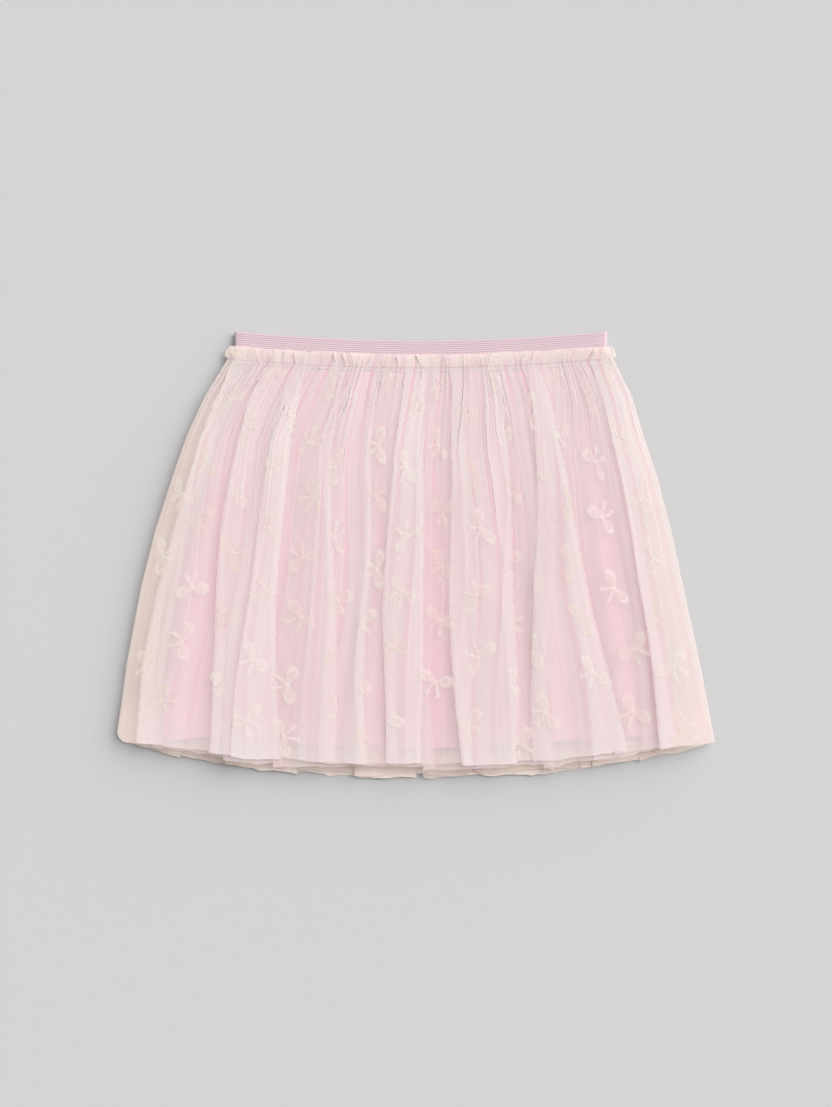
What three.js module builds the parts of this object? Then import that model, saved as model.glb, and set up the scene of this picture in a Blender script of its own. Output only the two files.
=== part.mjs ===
// A child's pull-on tulle skirt, laid flat on a table with its front up.
// An elastic waistband shows above a gathered heading. Below the gather line hang three tubes, one
// inside the other: printed outer tulle, plain under tulle and a shorter lining. Each tube is a front
// and a back panel that meet at the side seams.
// Millimetres. +X is the viewer's right, +Y runs up to the waist, +Z is up off the table.
import * as THREE from "three";

const { clamp, degToRad, lerp, mapLinear, smoothstep } = THREE.MathUtils;

// Sizes of the whole skirt, from the centre of its outline
const GATHER_Y = 122.4; // gather line at the centre front
const GATHER_RISE = 6.1; // how much higher the gather line is at the sides
const GATHER_BEND = 1.8;
const HEM_Y = -147.5; // lowest point of the back hem
const HEM_RISE = 24; // how much higher the hem is at the sides
const HEM_BEND = 2.6;
const DROP = GATHER_Y - HEM_Y; // length of the skirt down its middle

// Sizes of the cloth
const WALL = 1.0;
const SEAM_GAP = 0.3;
const SEAM_SLOPE = 0.3; // slope of a panel beside its seam, for each millimetre that it rises
const SEAM_EASE = 6; // power by which the hem's lift fades towards the side seams
const SIDE_ROUND = 0.07; // share of the half width over which a panel rounds down to its side seam
const ROUND_ANGLES = [90, 67.5, 45, 22.5, 0].map(degToRad); // from the seam to where the round starts

// Sizes of the heading, the short frill above the gather line
const HEADING = 9.5;
const HEADING_SPREAD = 1.5; // how far the frill's ends stand out past the gather line
const HEADING_CURL = 1.3; // how far its crests stand up at the loose edge
const CRIMP = 0.6; // half height of the small gathers on either side of the gather line
const CRIMPS_END = 0.2; // share of the way down at which the small gathers have opened out

// Sizes of the waistband, one loop of elastic pressed flat
const ELASTIC_LEFT = -119.7;
const ELASTIC_RIGHT = 126.0;
const ELASTIC_MIDDLE = (ELASTIC_LEFT + ELASTIC_RIGHT) / 2;
const ELASTIC_WALL = 1.5;
const ELASTIC_SLOT = 0.3; // gap between its two layers
const ELASTIC_THICK = 2 * ELASTIC_WALL + ELASTIC_SLOT;
const ELASTIC_ABOVE = 19; // elastic above and below the gather line
const ELASTIC_BELOW = 2.7;
const ELASTIC_FLOOR = 1.5;
const ELASTIC_STEPS = 30;
const HALF_TURN_STEPS = 6;

// The sides of the outline: down is the share of the way from the gather line to the hem, and left
// and right are distances from the centre line
const SIDES = [
  { down: 0.0, left: 124.0, right: 130.0 },
  { down: 0.1, left: 139.5, right: 142.5 },
  { down: 0.2, left: 151.0, right: 150.0 },
  { down: 0.3, left: 160.0, right: 158.5 },
  { down: 0.45, left: 172.0, right: 168.5 },
  { down: 0.6, left: 181.5, right: 176.5 },
  { down: 0.8, left: 190.8, right: 187.5 },
  { down: 1.0, left: 197.1, right: 197.1 },
];

// The largest folds of the front: across runs from -1 at the left side to 1 at the right, half is
// half the fold's width there, from is the share of the way down at which it starts, height is its
// height at the hem
const FOLDS = [
  { across: -0.805, half: 0.06, from: 0.0, height: 5.0 },
  { across: -0.6, half: 0.13, from: 0.02, height: 8.0 },
  { across: -0.36, half: 0.1, from: 0.05, height: 7.0 },
  { across: -0.185, half: 0.065, from: 0.0, height: 5.5 },
  { across: -0.025, half: 0.09, from: 0.1, height: 8.0 },
  { across: 0.16, half: 0.06, from: 0.0, height: 4.5 },
  { across: 0.3, half: 0.09, from: 0.0, height: 7.0 },
  { across: 0.47, half: 0.07, from: 0.05, height: 7.5 },
  { across: 0.58, half: 0.055, from: 0.0, height: 4.5 },
  { across: 0.71, half: 0.06, from: 0.15, height: 8.0 },
  { across: 0.83, half: 0.05, from: 0.0, height: 4.0 },
  { across: 0.925, half: 0.05, from: 0.0, height: 5.0 },
];
const FOLD_OPENS = 0.85; // share of the length over which a fold grows to its full height

// Narrow folds of the back, which the skirt's weight has pressed flat between them
const BACK_FOLD = 1.0;
const BACK_FOLD_EVERY = 3; // columns
const BACK_FOLDS_WITHIN = 0.75; // share of the half width, clear of every side seam
const BACK_FOLD_OPENS = 0.15;

// Heights of the front panels' middle surfaces off the table, down the skirt
const FRONT_HEIGHTS = [
  { down: 0.0, lining: 4.6, under_tulle: 5.95, outer_tulle: 6.4 },
  { down: 0.0126, lining: 4.6, under_tulle: 5.95, outer_tulle: 7.9 },
  { down: 0.06, lining: 5.1, under_tulle: 6.6, outer_tulle: 8.8 },
  { down: 0.2, lining: 5.7, under_tulle: 7.4, outer_tulle: 9.5 },
  { down: 0.5, lining: 5.9, under_tulle: 7.7, outer_tulle: 10.0 },
  { down: 1.0, lining: 6.0, under_tulle: 7.9, outer_tulle: 10.2 },
];
// Heights of the back panels' middle surfaces
const BACK_HEIGHTS = { outer_tulle: 0.5, under_tulle: 1.85, lining: 3.2 };

// Columns and rows of points in a panel
const COLUMNS = 68; // steps across the whole width
const COLUMN_CLEAR = 0.006; // least share of the half width between a column and a rounded side
const BACK_EVERY = 2; // a back panel has every second column
const OUTER_ROWS = [0, 0.0126, 0.06, 0.2, 0.38, 0.58, 0.79, 1];
const INNER_ROWS = [0.0126, 0.06, 0.2, 0.45, 0.72, 1];

// One row for each tube: left and right are its side seams as shares of the half width, fold is its
// share of the folds' height, lift is how far its hem lies above the outline's, frontLift is how much
// farther its front hem lies up than its back hem between the side seams, where the two meet, and
// every is which columns its front has
const TUBES = [
  { name: "outer_tulle", left: -1, right: 1, fold: 1, lift: 0, frontLift: 8, every: 1, color: 0xf1dcdc },
  { name: "under_tulle", left: -0.895, right: 0.965, fold: 0.65, lift: 2, frontLift: 3, every: 1, color: 0xf0dad8 },
  { name: "lining", left: -0.855, right: 0.87, fold: 0.25, lift: 20, frontLift: 2, every: 2, color: 0xecc4d2 },
];
const ELASTIC_COLOR = 0xe2bcc9;

// At the left the outer tulle turns under in a deep side fold, and its lower layer lies out beyond it
const SIDE_FOLD = -0.925;
const SIDE_FOLD_HEIGHT = 0.3; // share of the full height at which the lower layer lies
const SIDE_FOLD_OPENS = 0.2; // share of the way down by which it has opened

// A value read from a table's column at a share of the way down
function readTable(table, column, down) {
  const at = clamp(down, table[0].down, table[table.length - 1].down);
  const next = Math.max(1, table.findIndex((row) => row.down >= at));
  const [a, b] = [table[next - 1], table[next]];
  return mapLinear(at, a.down, b.down, a[column], b[column]);
}

const gatherY = (across) => GATHER_Y + GATHER_RISE * Math.abs(across) ** GATHER_BEND;
const hemY = (across) => HEM_Y + HEM_RISE * Math.abs(across) ** HEM_BEND;

// The place on the table of a point of the cloth
function plan(across, down) {
  const left = -readTable(SIDES, "left", down);
  const right = readTable(SIDES, "right", down);
  return [mapLinear(across, -1, 1, left, right), lerp(gatherY(across), hemY(across), down)];
}

// Height of the front's largest folds above the flat cloth
function foldHeight(across, down) {
  const heights = FOLDS.map((fold) => {
    const off = clamp((across - fold.across) / fold.half, -1, 1);
    const opened = smoothstep(down, fold.from, fold.from + FOLD_OPENS);
    return fold.height * Math.sqrt(opened) * (0.5 + 0.5 * Math.cos(Math.PI * off));
  });
  return Math.max(...heights);
}

// Height of a quarter circle at a distance from its foot, both as shares
const quarterCircle = (share) => Math.sqrt(1 - (1 - clamp(share, 0, 1)) ** 2);

// Share of a panel's full height that is left near its side seams
function sideRound(tube, across) {
  return quarterCircle(Math.min(across - tube.left, tube.right - across) / SIDE_ROUND);
}

// Share that is left where the outer tulle steps down at its side fold
function foldRound(across, down) {
  const low = lerp(1, SIDE_FOLD_HEIGHT, smoothstep(down, 0, SIDE_FOLD_OPENS));
  return lerp(low, 1, quarterCircle((across - SIDE_FOLD) / SIDE_ROUND));
}

// Height at which every tube's front and back panels meet
function seamHeight(down) {
  return (BACK_HEIGHTS.lining + readTable(FRONT_HEIGHTS, "lining", down)) / 2;
}

// How far from that height a panel ends that rises or falls so much beside its seam: its edge leaves
// half the seam gap, whether it stands upright there or lies flat
function seamOffset(rise) {
  return SEAM_GAP / 2 + WALL / 2 / Math.hypot(1, SEAM_SLOPE * rise);
}

// Height of a front panel's middle surface. Every other column stands up in the small gathers.
function frontHeight(tube, { across, number }, down) {
  const seam = seamHeight(down);
  const flat = readTable(FRONT_HEIGHTS, tube.name, down);
  let full = flat + tube.fold * foldHeight(across, down);
  let round = sideRound(tube, across);
  if (tube === TUBES[0]) {
    const fade = 1 - clamp(down / CRIMPS_END, 0, 1);
    full += (number % 2 ? CRIMP : -CRIMP) * fade;
    round *= foldRound(across, down);
  }
  return lerp(seam + seamOffset(flat - seam), full, round);
}

function backHeight(tube, { across, number }, down) {
  const seam = seamHeight(down);
  const flat = BACK_HEIGHTS[tube.name];
  const isFold = number % BACK_FOLD_EVERY === 0 && Math.abs(across) < BACK_FOLDS_WITHIN;
  const full = flat + (isFold ? BACK_FOLD * smoothstep(down, 0, BACK_FOLD_OPENS) : 0);
  return lerp(seam - seamOffset(seam - flat), full, sideRound(tube, across));
}

// Columns of a rounded side, from its edge inwards or from its inside to the edge
function roundColumns(edge, inwards) {
  const columns = ROUND_ANGLES.map((angle) => ({
    across: edge + inwards * SIDE_ROUND * (1 - Math.sin(angle)),
    number: 0,
  }));
  return inwards > 0 ? columns : columns.reverse();
}

// Columns of a panel: even ones between its rounded sides, and finer ones on them
function columnsOf(tube, every, hasSideFold) {
  const left = roundColumns(tube.left, 1);
  if (hasSideFold) left.push(...roundColumns(SIDE_FOLD, 1));
  const right = roundColumns(tube.right, -1);
  const low = left[left.length - 1].across + COLUMN_CLEAR;
  const high = right[0].across - COLUMN_CLEAR;
  const even = [];
  for (let number = 0; number * every <= COLUMNS; number++) {
    const across = (2 * number * every) / COLUMNS - 1;
    if (across > low && across < high) even.push({ across, number });
  }
  return [...left, ...even, ...right];
}

// How far a panel's hem lies above the outline's
function hemLift(tube, across, frontLift) {
  const fromMiddle = mapLinear(across, tube.left, tube.right, -1, 1);
  return tube.lift + frontLift * (1 - fromMiddle ** SEAM_EASE);
}

// Rows of the heading, from its loose top edge to halfway down to the gather line
function headingRows(tube, columns, height, curl) {
  return [1, 0.5].map((share) =>
    columns.map((column) => {
      const [x, y] = plan(column.across, 0);
      const crest = column.number % 2 ? curl * share * sideRound(tube, column.across) : 0;
      const z = height(tube, column, 0) + crest;
      return new THREE.Vector3(x + HEADING_SPREAD * share * column.across, y + HEADING * share, z);
    }),
  );
}

function skirtRows(tube, columns, height, frontLift) {
  const shares = tube === TUBES[0] ? OUTER_ROWS : INNER_ROWS;
  return shares.map((share) =>
    columns.map((column) => {
      const down = share * (1 - hemLift(tube, column.across, frontLift) / DROP);
      const [x, y] = plan(column.across, down);
      return new THREE.Vector3(x, y, height(tube, column, down));
    }),
  );
}

// A closed solid of even wall round a grid of points, rows of columns
function wallOf(grid) {
  const rows = grid.length;
  const columns = grid[0].length;
  const at = (r, c) => grid[clamp(r, 0, rows - 1)][clamp(c, 0, columns - 1)];
  const positions = [];
  for (const side of [1, -1]) {
    for (let r = 0; r < rows; r++) {
      for (let c = 0; c < columns; c++) {
        const along = new THREE.Vector3().subVectors(at(r, c + 1), at(r, c - 1));
        const down = new THREE.Vector3().subVectors(at(r + 1, c), at(r - 1, c));
        const normal = new THREE.Vector3().crossVectors(down, along).normalize();
        positions.push(...at(r, c).clone().addScaledVector(normal, (side * WALL) / 2));
      }
    }
  }
  const index = [];
  const top = (r, c) => r * columns + c;
  const low = (r, c) => (rows + r) * columns + c;
  const quad = (a, b, c, d) => index.push(a, b, c, a, c, d);
  for (let r = 0; r < rows - 1; r++) {
    const last = columns - 1;
    quad(top(r, 0), low(r, 0), low(r + 1, 0), top(r + 1, 0));
    quad(top(r, last), top(r + 1, last), low(r + 1, last), low(r, last));
    for (let c = 0; c < last; c++) {
      quad(top(r, c), top(r + 1, c), top(r + 1, c + 1), top(r, c + 1));
      quad(low(r, c), low(r, c + 1), low(r + 1, c + 1), low(r + 1, c));
    }
  }
  for (let c = 0; c < columns - 1; c++) {
    const last = rows - 1;
    quad(top(0, c), top(0, c + 1), low(0, c + 1), low(0, c));
    quad(top(last, c), low(last, c), low(last, c + 1), top(last, c + 1));
  }
  const geometry = new THREE.BufferGeometry();
  geometry.setAttribute("position", new THREE.Float32BufferAttribute(positions, 3));
  geometry.setIndex(index);
  geometry.computeVertexNormals();
  return geometry;
}

function panelOf(tube, isFront) {
  const isOuter = tube === TUBES[0];
  const height = isFront ? frontHeight : backHeight;
  const columns = columnsOf(tube, isFront ? tube.every : BACK_EVERY, isFront && isOuter);
  const heading = isOuter ? headingRows(tube, columns, height, isFront ? HEADING_CURL : 0) : [];
  return wallOf([...heading, ...skirtRows(tube, columns, height, isFront ? tube.frontLift : 0)]);
}

// Outline of the pressed loop's section: two straight sides joined by half circles
function stadium(radius) {
  const reach = (ELASTIC_RIGHT - ELASTIC_LEFT - ELASTIC_THICK) / 2;
  const points = [];
  for (const side of [1, -1]) {
    for (let i = 0; i < ELASTIC_STEPS; i++) {
      points.push(new THREE.Vector2(side * lerp(reach, -reach, i / ELASTIC_STEPS), side * radius));
    }
    for (let i = 0; i < HALF_TURN_STEPS; i++) {
      const angle = (Math.PI * i) / HALF_TURN_STEPS;
      const x = -side * (reach + radius * Math.sin(angle));
      points.push(new THREE.Vector2(x, side * radius * Math.cos(angle)));
    }
  }
  return points;
}

// The elastic loop, whose edges dip in the middle with the gather line
function elasticGeometry() {
  const section = new THREE.Shape(stadium(ELASTIC_THICK / 2));
  section.holes.push(new THREE.Path(stadium(ELASTIC_SLOT / 2)));
  const depth = ELASTIC_ABOVE + ELASTIC_BELOW;
  const geometry = new THREE.ExtrudeGeometry(section, { depth, bevelEnabled: false });
  geometry.rotateX(Math.PI / 2);
  geometry.translate(ELASTIC_MIDDLE, ELASTIC_ABOVE, ELASTIC_FLOOR + ELASTIC_THICK / 2);
  const position = geometry.getAttribute("position");
  for (let i = 0; i < position.count; i++) {
    const across = (position.getX(i) - ELASTIC_MIDDLE) / (ELASTIC_RIGHT - ELASTIC_MIDDLE);
    position.setY(i, position.getY(i) + gatherY(across));
  }
  return geometry;
}

function meshOf(name, geometry, color, roughness) {
  const material = new THREE.MeshStandardMaterial({ color, roughness, metalness: 0 });
  const mesh = new THREE.Mesh(geometry, material);
  mesh.name = name;
  return mesh;
}

const skirt = new THREE.Group();
skirt.add(meshOf("waist_elastic", elasticGeometry(), ELASTIC_COLOR, 0.8));
for (const tube of TUBES) {
  skirt.add(meshOf(`${tube.name}_front`, panelOf(tube, true), tube.color, 0.9));
  skirt.add(meshOf(`${tube.name}_back`, panelOf(tube, false), tube.color, 0.9));
}

// The origin is on the table under the middle of the outline
const outline = new THREE.Box3().setFromObject(skirt);
const middle = outline.getCenter(new THREE.Vector3());
skirt.position.set(-middle.x, -middle.y, -outline.min.z);

export default skirt;
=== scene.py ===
# A child's pull-on tulle skirt, laid flat on a pale table with its front up, round its CAD part.
# +X is the viewer's right, +Y runs up to the waist and +Z is up off the table.
import math

import bpy
import numpy as np
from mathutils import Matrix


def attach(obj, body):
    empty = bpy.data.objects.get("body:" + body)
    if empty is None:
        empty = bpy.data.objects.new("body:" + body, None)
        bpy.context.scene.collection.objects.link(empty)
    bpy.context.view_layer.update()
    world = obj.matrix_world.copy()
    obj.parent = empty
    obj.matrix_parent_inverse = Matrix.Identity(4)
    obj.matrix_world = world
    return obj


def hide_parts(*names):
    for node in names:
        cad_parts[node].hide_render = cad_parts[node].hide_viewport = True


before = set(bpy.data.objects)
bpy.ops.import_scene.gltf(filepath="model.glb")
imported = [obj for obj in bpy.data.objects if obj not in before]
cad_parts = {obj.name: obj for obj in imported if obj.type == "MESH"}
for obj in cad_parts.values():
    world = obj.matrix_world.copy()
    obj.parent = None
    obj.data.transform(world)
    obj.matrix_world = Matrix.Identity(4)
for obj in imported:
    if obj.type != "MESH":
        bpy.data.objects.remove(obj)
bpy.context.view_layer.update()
bpy.ops.object.select_all(action="DESELECT")


# Waist elastic
# One loop of ribbed knitted elastic, pressed flat. The gathered cloth is sewn over its lower half,
# so that only its top edge shows. Its edges dip a little in the middle, as the gather line does.
MM = 0.001  # lengths are in millimetres where no comment says otherwise
GATHER_Y = 122.4  # gather line at the centre front
GATHER_RISE = 6.1  # how much higher the gather line is at the sides
GATHER_BEND = 1.8
ELASTIC_LEFT = -119.7
ELASTIC_RIGHT = 126.0
ELASTIC_THICK = 3.3
ELASTIC_CLOTH = 1.2
ELASTIC_ABOVE = 17.6  # elastic above and below the gather line
ELASTIC_BELOW = 2.65
ELASTIC_FLOOR = 1.5
RIB_PITCH = 1.35
RIB_HEIGHT = 0.09
RIB_STEPS = 6
KNIT_PITCH = 0.9  # from one knitted stitch to the next along a rib
ELASTIC_CUT = (0.5, 0.02025)  # in metres: all round, and as wide as 15 ribs
ELASTIC_PINK = (0.69, 0.54, 0.58, 1)
# painted shade in the grooves between the ribs
ELASTIC_GROOVE_SHADE = (0.60, 0.43, 0.48, 1)


class Shade:
    """What comes out of one node. Sums on it add Math nodes."""

    def __init__(self, finish, socket):
        self.finish = finish
        self.socket = socket

    def maths(self, operation, first, second=0.0):
        settings = {"operation": operation}
        return self.finish.node("ShaderNodeMath", settings, {0: first, 1: second})

    def __add__(self, other):
        return self.maths("ADD", self, other)

    def __radd__(self, other):
        return self.maths("ADD", other, self)

    def __sub__(self, other):
        return self.maths("SUBTRACT", self, other)

    def __rsub__(self, other):
        return self.maths("SUBTRACT", other, self)

    def __mul__(self, other):
        return self.maths("MULTIPLY", self, other)

    def __rmul__(self, other):
        return self.maths("MULTIPLY", other, self)

    def __rpow__(self, other):
        return self.maths("POWER", other, self)

    def sine(self):
        return self.maths("SINE", self)


class Finish:
    """A procedural material with one Principled shader, whose constants are set on its own sockets."""

    def __init__(self, name, constants):
        self.material = bpy.data.materials.new(name)
        self.material.use_nodes = True
        self.tree = self.material.node_tree
        self.shader = self.tree.nodes["Principled BSDF"]
        for socket, value in constants.items():
            self.shader.inputs[socket].default_value = value

    def node(self, kind, settings, values, output=0):
        made = self.tree.nodes.new(kind)
        for name, value in settings.items():
            setattr(made, name, value)
        for name, value in values.items():
            self.feed(made.inputs[name], value)
        return Shade(self, made.outputs[output])

    def feed(self, socket, value):
        if isinstance(value, Shade):
            self.tree.links.new(value.socket, socket)
        else:
            socket.default_value = value

    def drive(self, socket, value):
        self.feed(self.shader.inputs[socket], value)

    def along_cloth(self):
        """Distances across the cut cloth and up it from its lower edge, in metres."""
        uv = self.node("ShaderNodeUVMap", {"uv_map": "UVMap"}, {})
        across = self.node("ShaderNodeSeparateXYZ", {}, {0: uv}, "X")
        up = self.node("ShaderNodeSeparateXYZ", {}, {0: uv}, "Y")
        return across, up

    def stretched_noise(self, across_scale, up_scale, detail=2.0):
        """Noise on the cloth whose grains are longer one way than the other."""
        uv = self.node("ShaderNodeUVMap", {"uv_map": "UVMap"}, {})
        scale = (across_scale, up_scale, 1)
        placed = self.node("ShaderNodeMapping", {}, {"Vector": uv, "Scale": scale})
        values = {"Vector": placed, "Scale": 1.0, "Detail": detail}
        return self.node("ShaderNodeTexNoise", {"noise_dimensions": "2D"}, values)

    def stored(self, name):
        """A number that the piece keeps at each of its points."""
        return self.node("ShaderNodeAttribute", {"attribute_name": name}, {}, "Fac")

    def mix(self, share, first, second):
        values = {0: share, 6: first, 7: second}
        return self.node("ShaderNodeMix", {"data_type": "RGBA"}, values, 2)

    def bump(self, height, strength, distance):
        values = {"Height": height, "Strength": strength, "Distance": distance}
        self.drive("Normal", self.node("ShaderNodeBump", {}, values))


def gather_y(across):
    """The gather line's y, with across from -1 at the left side to 1 at the right."""
    return GATHER_Y + GATHER_RISE * np.abs(across) ** GATHER_BEND


def grid_piece(name, points, cut, outside=1):
    """A grid primitive laid on rows of points in millimetres, with its UVs in metres of cut cloth.

    The rows of points run down the cloth and the primitive's own run up it, so they are reversed.
    outside is 1 where the outer side of the cloth faces up, and -1 where it faces the table.
    """
    rows, columns = points.shape[:2]
    bpy.ops.mesh.primitive_grid_add(x_subdivisions=columns - 1, y_subdivisions=rows - 1)
    piece = bpy.context.object
    piece.name = name
    piece.data.name = name
    piece.data.vertices.foreach_set("co", (points[::-1] * MM).ravel())
    layer = piece.data.uv_layers[0]
    layer.name = "UVMap"
    places = np.zeros(len(layer.data) * 2)
    layer.data.foreach_get("uv", places)
    layer.data.foreach_set("uv", (places.reshape(-1, 2) * cut).ravel())
    if outside < 0:
        piece.data.flip_normals()
    piece.data.update()
    bpy.ops.object.shade_smooth()
    return piece


def pressed_loop(reach, radius, straight_steps, turn_steps):
    """A closed section pressed flat: over its top to the left, round, and back along its underside."""
    straight = np.linspace(reach, -reach, straight_steps, endpoint=False)
    turn = np.linspace(0, math.pi, turn_steps, endpoint=False)
    top = np.stack([straight, np.full(straight_steps, radius)], 1)
    left = np.stack([-reach - radius * np.sin(turn), radius * np.cos(turn)], 1)
    half = np.concatenate([top, left])
    return np.concatenate([half, -half, half[:1]])


def elastic_points():
    """Rows of points round the elastic's mid-wall, from its top edge down, with its ribs raised."""
    radius = (ELASTIC_THICK - ELASTIC_CLOTH) / 2 - RIB_HEIGHT
    reach = (ELASTIC_RIGHT - ELASTIC_LEFT - ELASTIC_THICK) / 2
    height = ELASTIC_ABOVE + ELASTIC_BELOW
    ups = np.linspace(ELASTIC_ABOVE, -ELASTIC_BELOW, 1 + round(RIB_STEPS * height / RIB_PITCH))
    loops = []
    for up in ups:
        rib = RIB_HEIGHT * abs(math.sin(math.pi * (ELASTIC_ABOVE - up) / RIB_PITCH))
        section = pressed_loop(reach, radius + rib, straight_steps=56, turn_steps=8)
        y = gather_y(section[:, 0] / (reach + radius)) + up
        x = section[:, 0] + (ELASTIC_LEFT + ELASTIC_RIGHT) / 2
        z = section[:, 1] + ELASTIC_FLOOR + ELASTIC_THICK / 2
        loops.append(np.stack([x, y, z], 1))
    return np.array(loops)


def close_seam(piece):
    """Joins the first and last columns of a grid that has been wrapped round."""
    bpy.ops.object.mode_set(mode="EDIT")
    bpy.ops.mesh.select_all(action="SELECT")
    bpy.ops.mesh.remove_doubles(threshold=0.00002)
    bpy.ops.mesh.normals_make_consistent(inside=False)
    bpy.ops.object.mode_set(mode="OBJECT")


def knitted_elastic():
    """Ribbed knit, painted darker in the grooves between its ribs as painted shade, with a fleck of
    uneven yarn.
    """
    finish = Finish("Knitted elastic", {"Roughness": 0.75, "Specular IOR Level": 0.25})
    finish.shader.inputs["Sheen Weight"].default_value = 0.25
    finish.shader.inputs["Sheen Roughness"].default_value = 0.5
    across, up = finish.along_cloth()
    rib = 0.5 + 0.5 * (up * (2 * math.pi / (RIB_PITCH * MM)) - math.pi / 2).sine()
    stitch = 0.5 + 0.5 * (across * (2 * math.pi / (KNIT_PITCH * MM))).sine()
    yarn = finish.stretched_noise(700, 350)
    # The grooves are painted darker than the ribs as painted shade, besides the bump below
    share = 0.2 + 0.65 * rib * (0.9 + 0.1 * stitch) + 0.4 * (yarn - 0.5)
    finish.drive("Base Color", finish.mix(share, ELASTIC_GROOVE_SHADE, ELASTIC_PINK))
    finish.bump(rib + 0.25 * stitch * rib, 0.25, 0.00015)
    return finish.material


elastic = grid_piece("waist_elastic_band", elastic_points(), ELASTIC_CUT)
close_seam(elastic)
wall = elastic.modifiers.new("Wall", "SOLIDIFY")
wall.thickness = ELASTIC_CLOTH * MM
wall.offset = 0
bpy.ops.object.modifier_apply(modifier=wall.name)
elastic.data.materials.append(knitted_elastic())
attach(elastic, "root")
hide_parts("waist_elastic")


# Lining
# A front and a back panel of light, opaque pink cloth, sewn into the waist seam inside the nets. It
# is what shows as the stronger pink, and it ends a little above the hem.
HEM_Y = -147.5  # lowest point of the outline
HEM_RISE = 24.0  # how much higher the hem is at the sides
HEM_BEND = 2.6
DROP = GATHER_Y - HEM_Y
SEAM_EASE = 6  # power by which a hem's lift fades towards the side seams
SIDE_ROUND = 0.035  # share of the half width over which a panel rounds down to its side seam
CORNER = 6.0  # how far the left side fold draws up the hem's corner
FRILL_UNEVEN = 12  # how much more uneven the frill's edge is than the hem, for its height
TURN = 4.5  # length of cloth in which a pleat turns back
MOST_WAVE = 2.2  # largest swing of the cloth either way, in radians
HALVINGS = 24  # how often the search for a row's swing is halved
PLEAT_STEP = 2.5  # most that the cloth past a pleat hangs lower or higher at the hem
STEP_FADES = 30.0  # length of cloth over which that step fades
RAGGED_EVERY = (14.0, 5.0)  # lengths of cloth in which a raw hem wanders up or down
PRESSED = 0.18  # share of a gather's steepness that is left once it lies pressed
VALLEY = 9.0  # length of cloth on either side that a valley is measured from
SPREAD = 45.0  # length of cloth over which the gathers are spread evenly
BESIDE = 24.0  # length of cloth just outside a pleat's edge over which painted shade is laid
POCKET = 11.0  # length of cloth over which it looks deeper just outside a pleat's edge
HOLLOW_BELOW = 4.0  # height of the broad folds below which painted shade is laid on the cloth
SWAY = 0.013  # how far a pleat wanders from its line, as a share of the half width
SWAY_TURNS = (6.5, 2.4)  # radians of it from waist to hem, and from one pleat to the next
SWELL = 0.22  # how much more or less of a pleat is turned back along its length
SWELL_TURNS = (8, 1.7)  # the same for the swell
CALM_NEAR = 0.55  # share of the small gathers that is lost beside a pleat
CALM_TURNED = 0.6  # share of the rest that is lost where it is turned back
ACROSS_PLACES = (0, 0.55, 1)  # shares of the way down at which a pleat's place is given
LENGTHS_PLACES = (0, 0.2, 0.55, 1)  # and its lengths
LINING_TOP = 0.0126  # share of the way down at which the lining starts
LINING_CUT = (0.38, 0.25)  # in metres
LINING_PINK = (0.86, 0.55, 0.655, 1)
LINING_SHADE = (0.83, 0.48, 0.60, 1)

# The sides of the outline: left and right are distances from the centre line
SIDES = [
    {"down": 0.0, "left": 124.0, "right": 130.0},
    {"down": 0.1, "left": 139.5, "right": 142.5},
    {"down": 0.2, "left": 151.0, "right": 150.0},
    {"down": 0.3, "left": 160.0, "right": 158.5},
    {"down": 0.45, "left": 172.0, "right": 168.5},
    {"down": 0.6, "left": 181.5, "right": 176.5},
    {"down": 0.8, "left": 190.8, "right": 187.5},
    {"down": 1.0, "left": 197.1, "right": 197.1},
]

# The broad folds of the front: across is from -1 at the left side to 1 at the right, half is half
# the width there, start is the share of the way down at which it starts, height is that at the hem
BROAD_FOLDS = [
    {"across": -0.805, "half": 0.06, "start": 0.0, "height": 5.0},
    {"across": -0.6, "half": 0.13, "start": 0.02, "height": 8.0},
    {"across": -0.36, "half": 0.1, "start": 0.05, "height": 7.0},
    {"across": -0.185, "half": 0.065, "start": 0.0, "height": 5.5},
    {"across": -0.025, "half": 0.09, "start": 0.1, "height": 8.0},
    {"across": 0.16, "half": 0.06, "start": 0.0, "height": 4.5},
    {"across": 0.3, "half": 0.09, "start": 0.0, "height": 7.0},
    {"across": 0.47, "half": 0.07, "start": 0.05, "height": 7.5},
    {"across": 0.58, "half": 0.055, "start": 0.0, "height": 4.5},
    {"across": 0.71, "half": 0.06, "start": 0.15, "height": 8.0},
    {"across": 0.83, "half": 0.05, "start": 0.0, "height": 4.0},
    {"across": 0.925, "half": 0.05, "start": 0.0, "height": 5.0},
]
FOLD_OPENS = 0.85

# The sizes of gather in the lining: length is along the cloth, and strength is how strong it is at
# the heading's edge, the gather line, just below it, a quarter of the way down, halfway and the hem
STRENGTH_PLACES = (-0.035, 0.0, 0.08, 0.25, 0.55, 1.0)
WANDER = 2.2  # how unevenly the gathers are spaced, in radians of one wave
DRIFT = 2.0  # how far they have shifted sideways by the hem, in radians
UNEVEN = 0.8  # how much taller or lower some are than the rest
LINING_WAVES = [
    {"length": 7.0, "strength": (0, 1.0, 0.5, 0.1, 0.0, 0.0)},
    {"length": 21.0, "strength": (0, 0.4, 0.8, 0.8, 0.7, 0.5)},
    {"length": 53.0, "strength": (0, 0.1, 0.4, 0.7, 1.0, 1.0)},
]


def read_table(table, column, down):
    """Values of one column of a table at shares of the way down."""
    return np.interp(down, [row["down"] for row in table], [row[column] for row in table])


def hem_y(across):
    """The outline's hem, with across from -1 at the left side to 1 at the right."""
    return HEM_Y + HEM_RISE * np.abs(across) ** HEM_BEND


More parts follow.
